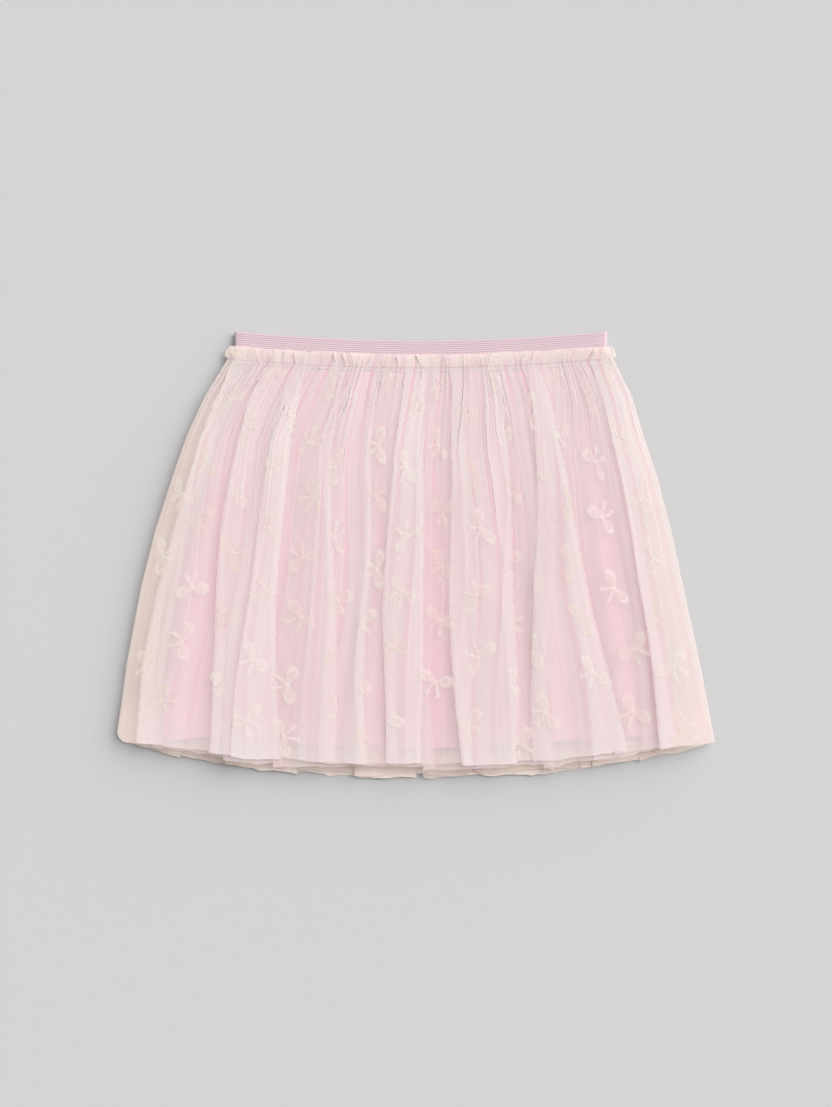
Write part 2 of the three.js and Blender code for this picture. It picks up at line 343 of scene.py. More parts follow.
def smooth_noise(rng, knots, columns):
    """Random values from -1 to 1 at even knots, eased from each to the next."""
    values = rng.uniform(-1, 1, knots + 1)
    place = np.linspace(0, knots, columns)
    before = np.minimum(place.astype(int), knots - 1)
    share = place - before
    share = share * share * (3 - 2 * share)
    return values[before] * (1 - share) + values[before + 1] * share


def gathers(rng, waves, cut, downs, columns):
    """The cloth's small waves, about -1 to 1, at each row and column."""
    along = np.linspace(0, cut, columns)
    total = np.zeros((len(downs), columns))
    power = np.zeros((len(downs), 1))
    for wave in waves:
        strength = np.interp(downs, STRENGTH_PLACES, wave["strength"])[:, None]
        knots = max(4, round(cut / wave["length"] / 1.5))
        wander = WANDER * smooth_noise(rng, knots, columns)
        drift = DRIFT * smooth_noise(rng, knots, columns) * downs[:, None]
        swell = 1 + UNEVEN * smooth_noise(rng, knots, columns)
        phase = 2 * math.pi * along / wave["length"] + wander + drift
        total += strength * swell * np.sin(phase)
        power += strength**2
    return total / np.sqrt(power)


def pleat_windows(pleats, cut, along, downs, span, width):
    """For each row, how far the cloth has turned back at each point, and where the pleats lie.

    Returns the turn in radians, the share of the small gathers that is left, and the pleats' starts
    and ends along the cloth.
    """
    turn = np.zeros((len(downs), len(along)))
    calm = np.ones_like(turn)
    edges = []
    used = np.zeros(len(downs))
    lengths = []
    for order, pleat in enumerate(pleats):
        length = np.interp(downs, LENGTHS_PLACES, pleat["lengths"])
        swell = SWELL * np.sin(SWELL_TURNS[0] * downs + SWELL_TURNS[1] * order)
        lengths.append(length * (1 + swell))
    # Cloth for each millimetre of width, but for what the pleats take up
    free = (cut - 2 * sum(lengths)) / width if pleats else 1
    for order, (pleat, length) in enumerate(zip(pleats, lengths)):
        place = np.interp(downs, ACROSS_PLACES, pleat["across"])
        sway = SWAY * np.sin(SWAY_TURNS[0] * downs + SWAY_TURNS[1] * order)
        place = place + sway * np.sqrt(downs)
        reach = (place - span[0]) / (span[1] - span[0]) * width
        if pleat["faces"] == "left":
            reach = reach + length
        start = (reach * free + used)[:, None]
        end = start + length[:, None]
        used = used + 2 * length
        rise = np.clip((along - start) / TURN + 0.5, 0, 1)
        fall = np.clip((along - end) / TURN + 0.5, 0, 1)
        window = rise * rise * (3 - 2 * rise) - fall * fall * (3 - 2 * fall)
        side = 1 if pleat["faces"] == "left" else -1
        turn += side * math.pi * window
        near = np.clip(1 - np.abs(along - (start + end) / 2) / (0.5 + 1.5 * length[:, None]), 0, 1)
        calm *= (1 - CALM_NEAR * np.sqrt(near)) * (1 - CALM_TURNED * window)
        edges.append((start[:, 0] - TURN / 2, end[:, 0] + TURN / 2))
    return turn, calm, edges


def rest_line(height, along, edges):
    """The line under one row of cloth: level with each pleat's foot, and even between pleats."""
    places = [along[0]]
    levels = [height[0]]
    for start, end in edges:
        foot = min(np.interp(start, along, height), np.interp(end, along, height))
        places += [start, end]
        levels += [foot, foot]
    places.append(along[-1])
    levels.append(height[-1])
    return np.interp(along, places, levels)


def even_spread(turn, width, step):
    """Where a row's points would lie with its gathers spread evenly between the pleats."""
    back = np.cos(turn) < 0.99
    reach = np.where(back, np.cos(turn), 0) * step
    free = ~back
    reach[free] = (width - reach.sum()) / free.sum()
    place = np.cumsum(reach)
    return place - place[0]


def slow_part(values, reach):
    """A row of values that is 0 at both ends, averaged over a reach either way."""
    weights = np.hanning(2 * reach + 1)
    before = -values[reach:0:-1]
    after = -values[-2 : -reach - 2 : -1]
    return np.convolve(np.concatenate([before, values, after]), weights / weights.sum(), "valid")


def running_mean(values, reach):
    """A row of values, averaged over a reach either way."""
    weights = np.hanning(2 * reach + 1)
    padded = np.pad(values, reach, mode="edge")
    return np.convolve(padded, weights / weights.sum(), "valid")


def quarter_circle(share):
    """From 0 up to 1 as a quarter of a circle rises."""
    return np.sqrt(1 - (1 - np.clip(share, 0, 1)) ** 2)


def broad_fold_height(across, down):
    """The height of the highest broad fold at each point."""
    heights = np.zeros_like(across)
    for fold in BROAD_FOLDS:
        off = np.clip((across - fold["across"]) / fold["half"], -1, 1)
        opened = np.clip((down - fold["start"]) / FOLD_OPENS, 0, 1)
        opened = np.sqrt(opened * opened * (3 - 2 * opened))
        height = fold["height"] * opened * (0.5 + 0.5 * np.cos(math.pi * off))
        heights = np.maximum(heights, height)
    return heights


def wave_to_width(turn, waving, cut, width):
    """Slopes along the cloth, in radians, with each row waved so deeply that it comes to its width."""
    low = np.zeros(len(width))
    high = np.full(len(width), MOST_WAVE)
    for _ in range(HALVINGS):
        swing = (low + high) / 2
        reach = np.cos(turn + swing[:, None] * waving).mean(1) * cut
        low = np.where(reach > width, swing, low)
        high = np.where(reach > width, high, swing)
    return turn + swing[:, None] * waving


def lay_rows(angle, turn, edges, along, width):
    """Each row's distances across and its heights over the line that it lies on."""
    step = along[1]
    x = np.zeros_like(angle)
    z = np.zeros_like(angle)
    x[:, 1:] = np.cumsum((np.cos(angle[:, 1:]) + np.cos(angle[:, :-1])) / 2, 1) * step
    z[:, 1:] = np.cumsum((np.sin(angle[:, 1:]) + np.sin(angle[:, :-1])) / 2, 1) * step
    x *= (width / x[:, -1])[:, None]
    for row in range(len(width)):
        x[row] -= slow_part(x[row] - even_spread(turn[row], width[row], step), round(SPREAD / step))
        row_edges = [(start[row], end[row]) for start, end in edges]
        z[row] -= rest_line(z[row], along, row_edges)
        z[row] -= z[row].min()
    return x, z


def raw_hem(rng, along, edges):
    """How far the cloth at each point hangs above or below its even length."""
    cut = along[-1]
    slow, quick = (smooth_noise(rng, round(cut / every), len(along)) for every in RAGGED_EVERY)
    uneven = slow + 0.5 * quick
    for start, end in edges:
        step_down = rng.uniform(-PLEAT_STEP, PLEAT_STEP)
        past = np.clip((along - start[:, None]) / (end - start)[:, None], 0, 1)
        fading = np.exp(-np.maximum(along - end[:, None], 0) / STEP_FADES)
        uneven = uneven + step_down * past * fading
    return uneven


def net_look(angle, turn, z, relief, pleats, edges, along, share):
    """How many layers of net lie together at each point, and the painted shade for how deep it lies
    among the folds.
    """
    beside = np.zeros_like(angle)
    pocket = np.zeros_like(angle)
    for pleat, (start, end) in zip(pleats, edges):
        past = along - end[:, None]
        short = start[:, None] - along
        away, toward = (past, short) if pleat["faces"] == "left" else (short, past)
        # Full at the pleat's edge and fading away from it
        beside += np.where(away > 0, np.clip(1.4 - away / BESIDE, 0, 1), 0)
        pocket += np.where(toward > 0, np.clip(1.3 - toward / POCKET, 0, 1), 0)
    beside *= np.interp(share, [0, 0.25], [0.2, 1])
    steepness = np.sqrt(1 + (PRESSED * np.sin(angle) / np.maximum(np.abs(np.cos(angle)), 0.1)) ** 2)
    tucked = np.abs(turn) / math.pi
    # Fuller beside a pleat, and half as full where the net is turned back and lies in three layers
    layers = steepness * (0.8 + 0.6 * np.minimum(beside, 1)) * (1 - 0.5 * tucked)
    smooth = np.stack([running_mean(row, round(VALLEY / along[1])) for row in z])
    fold_shade = np.clip((smooth - z) / np.maximum((smooth - z).std(1, keepdims=True), 0.05) - 0.3, 0, 1.6)
    hollow = 1 - np.clip(relief / HOLLOW_BELOW, 0, 1)
    # Painted shade is also laid where it is turned back, in a pleat's pocket and between broad folds
    fold_shade = fold_shade + 0.6 * tucked + (0.9 * pocket + 0.7 * hollow) * np.sqrt(share)
    return layers, fold_shade


def lay_panel(seed, span, cut, columns, downs, waves, heights, seam, lift, pleats=(), ragged=1.0):
    """One gathered panel on the table: its points in millimetres, as rows of columns, then for each
    point the layers of cloth, the painted shade for how deep it lies among the folds, and the share
    of the half width.

    span is the shares of the half width at its side seams, and seam is their height. heights has
    columns for the height of the cloth's feet, how much of the waves' height is left once it lies
    flat, and its share of the broad folds. lift is how far its hem lies above the outline's, at the
    seams and more between them. ragged is how uneven the hem is.
    """
    rng = np.random.default_rng(seed)
    along = np.linspace(0, cut, columns)
    inside = np.clip(downs, 0, 1)
    left = -read_table(SIDES, "left", inside)
    right = read_table(SIDES, "right", inside)
    middle = ((left + right) / 2)[:, None]
    half = ((right - left) / 2)[:, None]
    width = half[:, 0] * (span[1] - span[0])
    waving = gathers(rng, waves, cut, downs, columns)
    turn, calm, edges = pleat_windows(pleats, cut, along, inside, span, width)
    angle = wave_to_width(turn, waving * calm, cut, width)
    x, z = lay_rows(angle, turn, edges, along, width)
    across = x / half + span[0]
    share = inside[:, None]
    from_middle = (across - (span[0] + span[1]) / 2) / ((span[1] - span[0]) / 2)
    rise = lift[0] + lift[1] * (1 - np.clip(np.abs(from_middle), 0, 1) ** SEAM_EASE)
    uneven = raw_hem(rng, along, edges) * ragged
    ends = quarter_circle(np.minimum(across - span[0], span[1] - across) / SIDE_ROUND)
    # The hem's left corner is drawn up, and the heading stands above the gather line
    corner = CORNER * (1 - quarter_circle((across - span[0]) / SIDE_ROUND)) * share**12
    above = np.maximum(-downs, 0)[:, None] * (DROP + FRILL_UNEVEN * uneven) * (0.4 + 0.6 * ends)
    y = gather_y(across) * (1 - share) + (hem_y(across) + rise + uneven) * share + above + corner
    feet, left_over, folds = (
        read_table(heights, column, downs)[:, None] for column in ("feet", "waves", "folds")
    )
    relief = broad_fold_height(across, share)
    height = seam * (1 - ends) + (feet + left_over * z + folds * relief) * ends
    layers, fold_shade = net_look(angle, turn, z, relief, pleats, edges, along, share)
    return np.stack([middle + across * half, y, height], 2), layers, fold_shade, across


def store(piece, name, values):
    """Keeps a number at each point of a grid piece, from rows of columns."""
    layer = piece.data.attributes.new(name, "FLOAT", "POINT")
    layer.data.foreach_set("value", values[::-1].ravel())


def grid_normals(points):
    """Unit normals of rows of points, which face up where the cloth lies face up."""
    normals = np.cross(np.gradient(points, axis=1), -np.gradient(points, axis=0))
    return normals / np.maximum(np.linalg.norm(normals, axis=2, keepdims=True), 1e-9)


def ease_shading(piece, normals, share):
    """Turns the vertices' shading normals towards upright, as a net catches light from every side."""
    eased = normals.reshape(-1, 3) * (1 - share, 1 - share, 1)
    eased /= np.maximum(np.linalg.norm(eased, axis=1, keepdims=True), 1e-9)
    piece.data.normals_split_custom_set_from_vertices(eased)


def lining_cloth():
    """Opaque pink cloth, a little uneven in its weave."""
    finish = Finish("Lining cloth", {"Roughness": 0.65, "Specular IOR Level": 0.2})
    finish.shader.inputs["Sheen Weight"].default_value = 0.2
    finish.shader.inputs["Sheen Roughness"].default_value = 0.4
    slubs = finish.stretched_noise(60, 9, 3)
    weave = finish.stretched_noise(1500, 1500, 1)
    share = 0.5 + 0.9 * (slubs - 0.5) + 0.3 * (weave - 0.5)
    finish.drive("Base Color", finish.mix(share, LINING_SHADE, LINING_PINK))
    finish.bump(weave + slubs, 0.25, 0.0002)
    return finish.material


lining_rows = np.linspace(LINING_TOP, 1, 60)
lining_material = lining_cloth()
LINING_FRONT_HEIGHTS = [
    {"down": 0.0, "feet": 3.6, "waves": 0.3, "folds": 0.0},
    {"down": 0.06, "feet": 4.6, "waves": 0.16, "folds": 0.2},
    {"down": 0.3, "feet": 5.2, "waves": 0.08, "folds": 0.25},
    {"down": 1.0, "feet": 5.4, "waves": 0.05, "folds": 0.25},
]
points = lay_panel(
    seed=21,
    span=(-0.855, 0.87),
    cut=LINING_CUT[0] / MM,
    columns=240,
    downs=lining_rows,
    waves=LINING_WAVES,
    heights=LINING_FRONT_HEIGHTS,
    seam=4.7,
    lift=(8, 12),
)[0]
lining_front = grid_piece("lining_front_cloth", points, LINING_CUT)
lining_front.data.materials.append(lining_material)
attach(lining_front, "root")
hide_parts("lining_front")

LINING_BACK_HEIGHTS = [
    {"down": 0.0, "feet": 2.7, "waves": 0.12, "folds": 0.0},
    {"down": 1.0, "feet": 2.8, "waves": 0.05, "folds": 0.0},
]
points = lay_panel(
    seed=22,
    span=(-0.855, 0.87),
    cut=LINING_CUT[0] / MM,
    columns=200,
    downs=lining_rows[::2],
    waves=LINING_WAVES,
    heights=LINING_BACK_HEIGHTS,
    seam=4.4,
    lift=(8, 12),
)[0]
lining_back = grid_piece("lining_back_cloth", points, LINING_CUT, outside=-1)
lining_back.data.materials.append(lining_material)
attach(lining_back, "root")
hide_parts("lining_back")


# Under tulle
# A plain net, also a front and a back panel, gathered into the same seam over the lining. It makes
# the printed net look fuller and shows a little below its front hem, where it has a raw edge.
TULLE_CUT = (0.55, 0.27)  # in metres
PLAIN_COVER = 0.36  # share of the light that one flat layer of the net stops
NET_EASE = 0.95  # how far its shading is turned towards upright, from 0 to 1
FRONT_NET = (0.94, 0.83, 0.83, 1)
# the back panels' copy of the net, tinted peach as painted shade
SHADED_BACK_NET = (0.99, 0.83, 0.76, 1)
WARM_TINT_AND_SHADE_NET = (0.99, 0.87, 0.78, 1)  # warm tint where no pink lining lies behind it; on the back panels and the left side fold's lower layer it is painted shade
FOLD_SHADE_NET = (0.94, 0.655, 0.71, 1)  # painted shade among the folds, a deeper pink
UNDER_WAVES = [
    {"length": 7.0, "strength": (0, 1.0, 0.6, 0.2, 0.1, 0.05)},
    {"length": 17.0, "strength": (0, 0.4, 1.0, 1.0, 0.8, 0.6)},
    {"length": 41.0, "strength": (0, 0.1, 0.3, 0.5, 0.8, 1.0)},
]


def tulle_net(name, thread, cover):
    """Fine soft net. It stops more light where it stands on edge, and its creases are painted a deeper
    pink as painted shade.
    """
    finish = Finish(name, {"Roughness": 0.6, "Specular IOR Level": 0.2})
    finish.shader.inputs["Sheen Weight"].default_value = 0.15
    finish.shader.inputs["Sheen Roughness"].default_value = 0.35
    layers = finish.stored("layers")
    fold_shade = finish.stored("fold_shade")
    warm_tint_and_shade = finish.stored("warm_tint_and_shade")
    streaks = finish.stretched_noise(900, 8, 3)
    clouds = finish.stretched_noise(120, 5, 2)
    bands = finish.stretched_noise(24, 1.6, 2)
    # Streaks are single creases, and clouds and bands are where the net lies looser or closer
    amount = layers * (0.2 + 0.2 * streaks + 0.4 * clouds + 1.0 * bands)
    finish.drive("Alpha", 1 - (1 - cover) ** amount)
    # The warm tint is painted shade on the back panels and the left side fold's lower layer, and also
    # covers the heading
    warmed = finish.mix(warm_tint_and_shade, thread, WARM_TINT_AND_SHADE_NET)
    # Painted shade: the creases, pockets and hollows are mixed towards a deeper pink
    finish.drive("Base Color", finish.mix(0.75 * fold_shade, warmed, FOLD_SHADE_NET))
    return finish.material


def fuller_hem(downs, most):
    """How much closer the net's layers lie at each row, up to the most at the hem."""
    return np.interp(downs, [0.88, 0.95], [1.0, most])[:, None]


# Pleats: faces is the side on which the upper layer's edge shows, across is its place at the waist,
# past halfway and at the hem, and lengths is how far the cloth turns back at the waist, a fifth of
# the way down, past halfway and at the hem
UNDER_PLEATS = [
    {"faces": "left", "across": (-0.68, -0.66, -0.65), "lengths": (1, 6, 9, 10)},
    {"faces": "right", "across": (-0.45, -0.43, -0.44), "lengths": (1, 6, 9, 10)},
    {"faces": "left", "across": (-0.24, -0.22, -0.2), "lengths": (1, 7, 10, 11)},
    {"faces": "right", "across": (0.03, 0.05, 0.06), "lengths": (1, 6, 8, 9)},
    {"faces": "left", "across": (0.17, 0.19, 0.2), "lengths": (1, 6, 9, 10)},
    {"faces": "right", "across": (0.5, 0.49, 0.48), "lengths": (1, 7, 10, 11)},
    {"faces": "left", "across": (0.62, 0.6, 0.58), "lengths": (1, 5, 8, 9)},
    {"faces": "right", "across": (0.84, 0.83, 0.82), "lengths": (1, 6, 8, 9)},
]

under_rows = np.concatenate([np.linspace(0.004, 0.2, 22), np.linspace(0.2, 1, 48)[1:]])
plain_front = tulle_net("Plain net, front", FRONT_NET, PLAIN_COVER)
plain_back = tulle_net("Plain net, back", SHADED_BACK_NET, PLAIN_COVER)
UNDER_FRONT_HEIGHTS = [
    {"down": 0.0, "feet": 5.1, "waves": 0.12, "folds": 0.0},
    {"down": 0.06, "feet": 6.4, "waves": 0.1, "folds": 0.25},
    {"down": 0.3, "feet": 7.6, "waves": 0.05, "folds": 0.3},
    {"down": 1.0, "feet": 8.0, "waves": 0.05, "folds": 0.3},
]
points, layers, fold_shade, _ = lay_panel(
    seed=31,
    span=(-0.895, 0.965),
    cut=TULLE_CUT[0] / MM,
    columns=560,
    downs=under_rows,
    waves=UNDER_WAVES,
    heights=UNDER_FRONT_HEIGHTS,
    seam=4.7,
    lift=(2, 4.5),
    pleats=UNDER_PLEATS,
)
under_front = grid_piece("under_tulle_front_cloth", points, TULLE_CUT)
store(under_front, "layers", np.sqrt(layers) * fuller_hem(under_rows, 1.3))
store(under_front, "fold_shade", fold_shade * 0.3)
store(under_front, "warm_tint_and_shade", np.zeros_like(fold_shade))
ease_shading(under_front, grid_normals(points)[::-1], NET_EASE)
under_front.data.materials.append(plain_front)
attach(under_front, "root")
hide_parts("under_tulle_front")

UNDER_BACK_HEIGHTS = [
    {"down": 0.0, "feet": 1.4, "waves": 0.15, "folds": 0.0},
    {"down": 1.0, "feet": 1.5, "waves": 0.1, "folds": 0.0},
]
points, layers, fold_shade, _ = lay_panel(
    seed=32,
    span=(-0.895, 0.965),
    cut=TULLE_CUT[0] / MM,
    columns=360,
    downs=under_rows[::2],
    waves=UNDER_WAVES,
    heights=UNDER_BACK_HEIGHTS,
    seam=4.4,
    lift=(2, 0),
    pleats=UNDER_PLEATS,
)
under_back = grid_piece("under_tulle_back_cloth", points, TULLE_CUT, outside=-1)
store(under_back, "layers", layers * fuller_hem(under_rows[::2], 2.0))
store(under_back, "fold_shade", fold_shade * 0.2)
store(under_back, "warm_tint_and_shade", np.ones_like(fold_shade))
ease_shading(under_back, -grid_normals(points)[::-1], NET_EASE)
under_back.data.materials.append(plain_back)
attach(under_back, "root")
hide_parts("under_tulle_back")


# Outer tulle
# The printed net over it, again a front and a back. Its top is turned to a frilled heading that
# stands above the gather line, and its front lies in soft pleats that open out towards the raw hem.
# It carries the printed bows, which are made after it.
OUTER_CUT = (0.625, 0.28)  # in metres, with the heading
HEADING = 8.6  # height of the frill above the gather line
HEADING_LAYERS = 1.6  # the heading is turned, so it is two layers of net and their gathers
PRINTED_COVER = 0.43
BACK_COVER = 0.6
OUTER_WAVES = [
    {"length": 6.5, "strength": (0.5, 1.0, 1.0, 0.7, 0.3, 0.2)},
    {"length": 15.0, "strength": (1.0, 0.3, 0.45, 0.7, 0.8, 0.6)},
    {"length": 37.0, "strength": (0.5, 0.1, 0.2, 0.5, 0.8, 1.0)},
]

# The front's pleats, with the same columns as the under tulle's
PLEATS = [
    {"faces": "left", "across": (-0.975, -0.935, -0.94), "lengths": (2, 8, 9, 10)},
    {"faces": "left", "across": (-0.79, -0.735, -0.7), "lengths": (1, 5, 7, 8)},
    {"faces": "left", "across": (-0.66, -0.62, -0.61), "lengths": (1, 2, 4, 5)},
    {"faces": "right", "across": (-0.56, -0.49, -0.455), "lengths": (1, 4, 6, 7)},
    {"faces": "right", "across": (-0.38, -0.29, -0.257), "lengths": (1, 4, 9, 11)},
    {"faces": "right", "across": (-0.21, -0.165, -0.15), "lengths": (1, 3, 5, 7)},
    {"faces": "left", "across": (-0.1, -0.11, -0.115), "lengths": (1, 5, 9, 11)},
    {"faces": "right", "across": (0.04, 0.035, 0.035), "lengths": (1, 3, 4, 4)},
    {"faces": "left", "across": (0.13, 0.14, 0.145), "lengths": (1, 4, 5, 7)},
    {"faces": "right", "across": (0.42, 0.375, 0.343), "lengths": (1, 4, 7, 8)},
    {"faces": "left", "across": (0.55, 0.437, 0.398), "lengths": (1, 8, 13, 13)},
    {"faces": "right", "across": (0.6, 0.66, 0.7), "lengths": (1, 4, 7, 8)},
    {"faces": "left", "across": (0.87, 0.82, 0.82), "lengths": (1, 5, 6, 7)},
]

# The back's pleats, which the skirt lies on
BACK_PLEATS = [
    {"faces": "right", "across": (-0.84, -0.8, -0.79), "lengths": (1, 6, 9, 10)},
    {"faces": "left", "across": (-0.66, -0.63, -0.61), "lengths": (1, 5, 8, 10)},
    {"faces": "right", "across": (-0.4, -0.39, -0.38), "lengths": (1, 6, 10, 11)},
    {"faces": "left", "across": (-0.22, -0.2, -0.21), "lengths": (1, 4, 7, 8)},
    {"faces": "right", "across": (0.02, 0.0, 0.01), "lengths": (1, 5, 8, 9)},
    {"faces": "left", "across": (0.14, 0.16, 0.17), "lengths": (1, 6, 9, 11)},
    {"faces": "right", "across": (0.4, 0.42, 0.41), "lengths": (1, 4, 7, 9)},
    {"faces": "left", "across": (0.57, 0.55, 0.56), "lengths": (1, 6, 9, 10)},
    {"faces": "right", "across": (0.8, 0.79, 0.78), "lengths": (1, 5, 8, 9)},
]

EAR = 2.2  # how far the heading's ends curl out past the gather line
EAR_TURN = 2.5  # how far they have curled over at the heading's edge, in radians
EAR_BEND = 12  # power by which the curl fades away from the ends


def curl_heading(points, across, downs):
    """Pushes the two ends of the heading out, most at two thirds of its height."""
    out = EAR * np.sin(np.clip(-downs * DROP / HEADING, 0, 1) * EAR_TURN)
    points[:, :, 0] += out[:, None] * np.sign(across) * np.abs(across) ** EAR_BEND


heading_rows = -np.linspace(1, 0, 9)[:-1] * HEADING / DROP
outer_rows = np.concatenate([heading_rows, np.linspace(0, 0.2, 32), np.linspace(0.2, 1, 68)[1:]])
OUTER_FRONT_HEIGHTS = [
    {"down": -HEADING / DROP, "feet": 6.2, "waves": 0.14, "folds": 0.0},
    {"down": -0.2 * HEADING / DROP, "feet": 5.9, "waves": 0.13, "folds": 0.0},
    {"down": 0.0, "feet": 5.6, "waves": 0.1, "folds": 0.0},
    {"down": 0.02, "feet": 6.9, "waves": 0.11, "folds": 0.3},
    {"down": 0.1, "feet": 8.6, "waves": 0.06, "folds": 0.36},
    {"down": 0.3, "feet": 9.8, "waves": 0.04, "folds": 0.36},
    {"down": 1.0, "feet": 10.2, "waves": 0.04, "folds": 0.36},
]
points, layers, fold_shade, across = lay_panel(
    seed=41,
    span=(-1, 1),
    cut=OUTER_CUT[0] / MM,
    columns=900,
    downs=outer_rows,
    waves=OUTER_WAVES,
    heights=OUTER_FRONT_HEIGHTS,
    seam=4.7,
    lift=(0, 9.2),
    pleats=PLEATS,
    ragged=0.6,
)
curl_heading(points, across, outer_rows)
outer_front = grid_piece("outer_tulle_front_cloth", points, OUTER_CUT)
outer_front_points = points
# Its painted crease shade fades down the skirt. It is tinted warm as painted shade in the left side
# fold's lower layer, and in the heading, where no lining lies behind; its gathers lie closest
# together at the top.
fold_shade_fading = np.interp(outer_rows, [-0.01, 0, 0.12, 0.4, 1], [0.4, 0.8, 0.45, 0.32, 0.28])[:, None]
warm = np.clip((-0.9 - across) / 0.06, 0, 1) * np.clip(outer_rows[:, None] / 0.3, 0, 1)
warm = np.maximum(warm, np.clip(-outer_rows[:, None] * 60, 0, 0.6))
fullness = np.interp(outer_rows, [-0.001, 0, 0.08, 0.4], [HEADING_LAYERS, 1.6, 1.5, 1.0])[:, None]
fullness = fullness * fuller_hem(outer_rows, 1.15)
store(outer_front, "layers", layers * fullness)
store(outer_front, "fold_shade", np.clip(fold_shade - 0.35, 0, 1.3) * 1.5 * fold_shade_fading)
store(outer_front, "warm_tint_and_shade", warm)
ease_shading(outer_front, grid_normals(points)[::-1], NET_EASE)
outer_front.data.materials.append(tulle_net("Printed net, front", FRONT_NET, PRINTED_COVER))
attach(outer_front, "root")
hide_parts("outer_tulle_front")

OUTER_BACK_HEIGHTS = [
    {"down": -HEADING / DROP, "feet": 0.3, "waves": 0.18, "folds": 0.0},
    {"down": 1.0, "feet": 0.3, "waves": 0.1, "folds": 0.0},
]
points, layers, fold_shade, across = lay_panel(
    seed=42,
    span=(-1, 1),
    cut=OUTER_CUT[0] / MM,
    columns=560,
    downs=outer_rows[::2],
    waves=OUTER_WAVES,
    heights=OUTER_BACK_HEIGHTS,
    seam=4.4,
    lift=(0, 0),
    pleats=BACK_PLEATS,
)
curl_heading(points, across, outer_rows[::2])
outer_back = grid_piece("outer_tulle_back_cloth", points, OUTER_CUT, outside=-1)
outer_back_points = points
store(outer_back, "layers", layers * fuller_hem(outer_rows[::2], 2.0))
store(outer_back, "fold_shade", fold_shade * 0.2)
store(outer_back, "warm_tint_and_shade", np.ones_like(fold_shade))
ease_shading(outer_back, -grid_normals(points)[::-1], NET_EASE)
outer_back.data.materials.append(tulle_net("Printed net, back", SHADED_BACK_NET, BACK_COVER))
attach(outer_back, "root")
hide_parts("outer_tulle_back")


# Printed bows
# Small bows printed on the outside of the outer net in a pale cream ink with a slight pearl, tossed
# at all angles. Each is two outlined loops, two tails and a knot, and the ink follows every fold.
BOW_EVERY = 42.0  # from one bow to the next, across and down
REPEAT_START = (0.3, 0.4)  # where the first bow lies, as shares of that distance
BOW_STRAY = 5.0  # how far a bow strays from its place in the repeat
BOW_LOOP = 13.8
LOOP_TURN = 1.9  # angle that is divided among the points round a loop, in radians
LOOP_OPENS = 0.7  # how wide the loop opens, as a share of it
LOOP_RISE = 0.22  # how far the loops point up from the knot, in radians
BOW_TAIL = 10.5
BOW_MARGIN = 12.0  # least distance of a bow's middle from the cloth's sides and hem
BOW_BELOW = 3  # least distance below the gather line
KNOT = (1.6, 1.4)
BOW_LEAN = 3.1  # farthest that a bow is turned either way, in radians
INK_OFF = 0.18  # how far the ink stands off the cloth
INK = (0.94, 0.86, 0.69, 1)
INK_PALE = (0.98, 0.94, 0.87, 1)


def patch(rows, columns):
    """A small grid primitive, and its points' shares from 0 to 1 across and along."""
    bpy.ops.mesh.primitive_grid_add(x_subdivisions=columns, y_subdivisions=rows, size=1)
    piece = bpy.context.object
    places = np.array([vertex.co[:2] for vertex in piece.data.vertices]) + 0.5
    return piece, places[:, 0], places[:, 1]


def finish_patch(piece, x, y, ink):
    """Lays a patch's points flat at x and y, and keeps how much ink each has."""
    piece.data.vertices.foreach_set("co", np.stack([x, y, np.zeros_like(x)], 1).ravel())
    layer = piece.data.attributes.new("ink", "FLOAT", "POINT")
    layer.data.foreach_set("value", ink)


def printed_bow():
    """One bow, flat, in millimetres, with how much ink there is at each point."""
    parts = []
    for side in (1, -1):
        loop, around, outward = patch(4, 12)
        angle = side * (0.5 - around) * LOOP_TURN
        ring = np.interp(outward, [0, 0.25, 0.5, 0.75, 1], [0.08, 0.38, 0.62, 0.76, 1])
        reach = BOW_LOOP * np.cos(angle / LOOP_TURN * math.pi * 0.94) ** 0.6 * ring
        facing = angle * LOOP_OPENS + LOOP_RISE
        ink = np.interp(outward, [0, 0.25, 0.5, 0.75, 1], [0.8, 0.6, 0.55, 1, 0.85])
        finish_patch(loop, side * reach * np.cos(facing), reach * np.sin(facing), ink)
        tail, across, up = patch(5, 2)
        down = 1 - up
        width = 1.5 + 1.3 * down
        x = side * (0.4 + 4.6 * down**0.8) + (across - 0.5) * width
        y = -0.8 - (BOW_TAIL - 0.8) * down + side * (across - 0.5) * 1.6 * down
        finish_patch(tail, x, y, np.full(len(x), 0.9))
        parts += [loop, tail]
    bpy.ops.mesh.primitive_circle_add(vertices=8, radius=1, fill_type="TRIFAN")
    knot = bpy.context.object
    round_knot = np.array([vertex.co[:2] for vertex in knot.data.vertices]) * KNOT
    finish_patch(knot, round_knot[:, 0], round_knot[:, 1], np.ones(len(round_knot)))
    parts.append(knot)
    bpy.ops.object.select_all(action="DESELECT")
    for part in parts:
        part.select_set(True)
    bpy.context.view_layer.objects.active = parts[0]
    bpy.ops.object.join()
    return bpy.context.object


